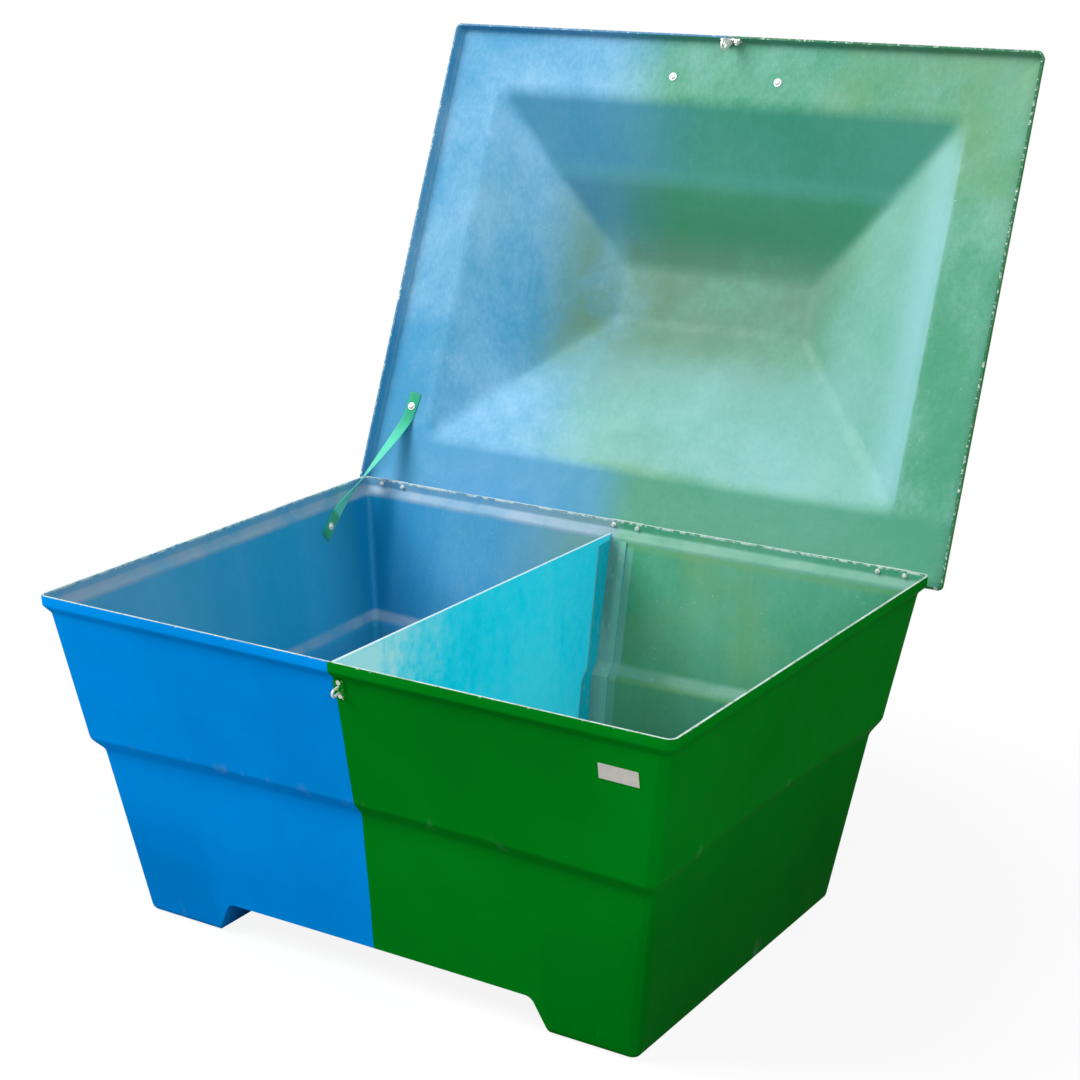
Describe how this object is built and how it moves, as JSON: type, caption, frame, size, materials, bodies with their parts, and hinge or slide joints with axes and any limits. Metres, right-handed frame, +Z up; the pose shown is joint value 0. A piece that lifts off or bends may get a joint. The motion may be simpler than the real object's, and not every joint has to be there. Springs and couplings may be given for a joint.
{
  "type": "grit salt bin",
  "caption": "Free-standing grit and salt bin with two compartments, a fork channel underneath and a hinged hip-shaped lid held open by a webbing strap.",
  "frame": {"origin": "on the ground, in the middle of the fork channel under the tub", "axes": "+Z up, +X along the front to the right, -Y towards the front where the lid opens"},
  "size_m": [1.238, 1.3051, 1.4463],
  "materials": {
    "tub_laminate": "gloss, blue on the left half and green on the right, with a mottled inside",
    "lid_laminate": "gloss outside, mottled blue to green inside",
    "divider_laminate": "pale blue-green laminate",
    "strip_laminate": "resin-rich laminate tape",
    "webbing": "woven webbing",
    "handle_plastic": "satin",
    "plated_steel": "zinc plated",
    "label_blank": "bare"
  },
  "bodies": {
    "tub": {"divider_bond_strips": "strip_laminate", "divider_panel": "divider_laminate", "hinge_left_pin": "plated_steel", "hinge_left_tub_leaf": "plated_steel", "hinge_middle_pin": "plated_steel", "hinge_middle_tub_leaf": "plated_steel", "hinge_right_pin": "plated_steel", "hinge_right_tub_leaf": "plated_steel", "label_plate": "label_blank", "restraint_strap": "webbing", "staple": "plated_steel", "staple_nuts": "plated_steel", "staple_screws": "plated_steel", "strap_tub_bolt": "plated_steel", "strap_tub_nut": "plated_steel", "strap_tub_washer": "plated_steel", "tub": "tub_laminate", "tub_hinge_nuts": "plated_steel", "tub_hinge_screws": "plated_steel", "tub_hinge_washers": "plated_steel"},
    "lid": {"handle_bolts": "plated_steel", "handle_washers": "plated_steel", "hinge_left_lid_leaf": "plated_steel", "hinge_middle_lid_leaf": "plated_steel", "hinge_right_lid_leaf": "plated_steel", "lid": "lid_laminate", "lid_handle": "handle_plastic", "lid_hinge_nuts": "plated_steel", "lid_hinge_screws": "plated_steel", "lid_hinge_washers": "plated_steel", "locking_tab": "plated_steel", "strap_lid_bolt": "plated_steel", "strap_lid_nut": "plated_steel", "strap_lid_washer": "plated_steel", "tab_bolts": "plated_steel", "tab_nuts": "plated_steel"}
  },
  "joints": [
    {"name": "lid_hinge", "type": "hinge", "parent": "tub", "child": "lid", "pos_m": [0, 0.4598, 0.564], "axis": [1, 0, 0], "range_deg": [0, 112], "deforming": ["restraint_strap"]}
  ]
}
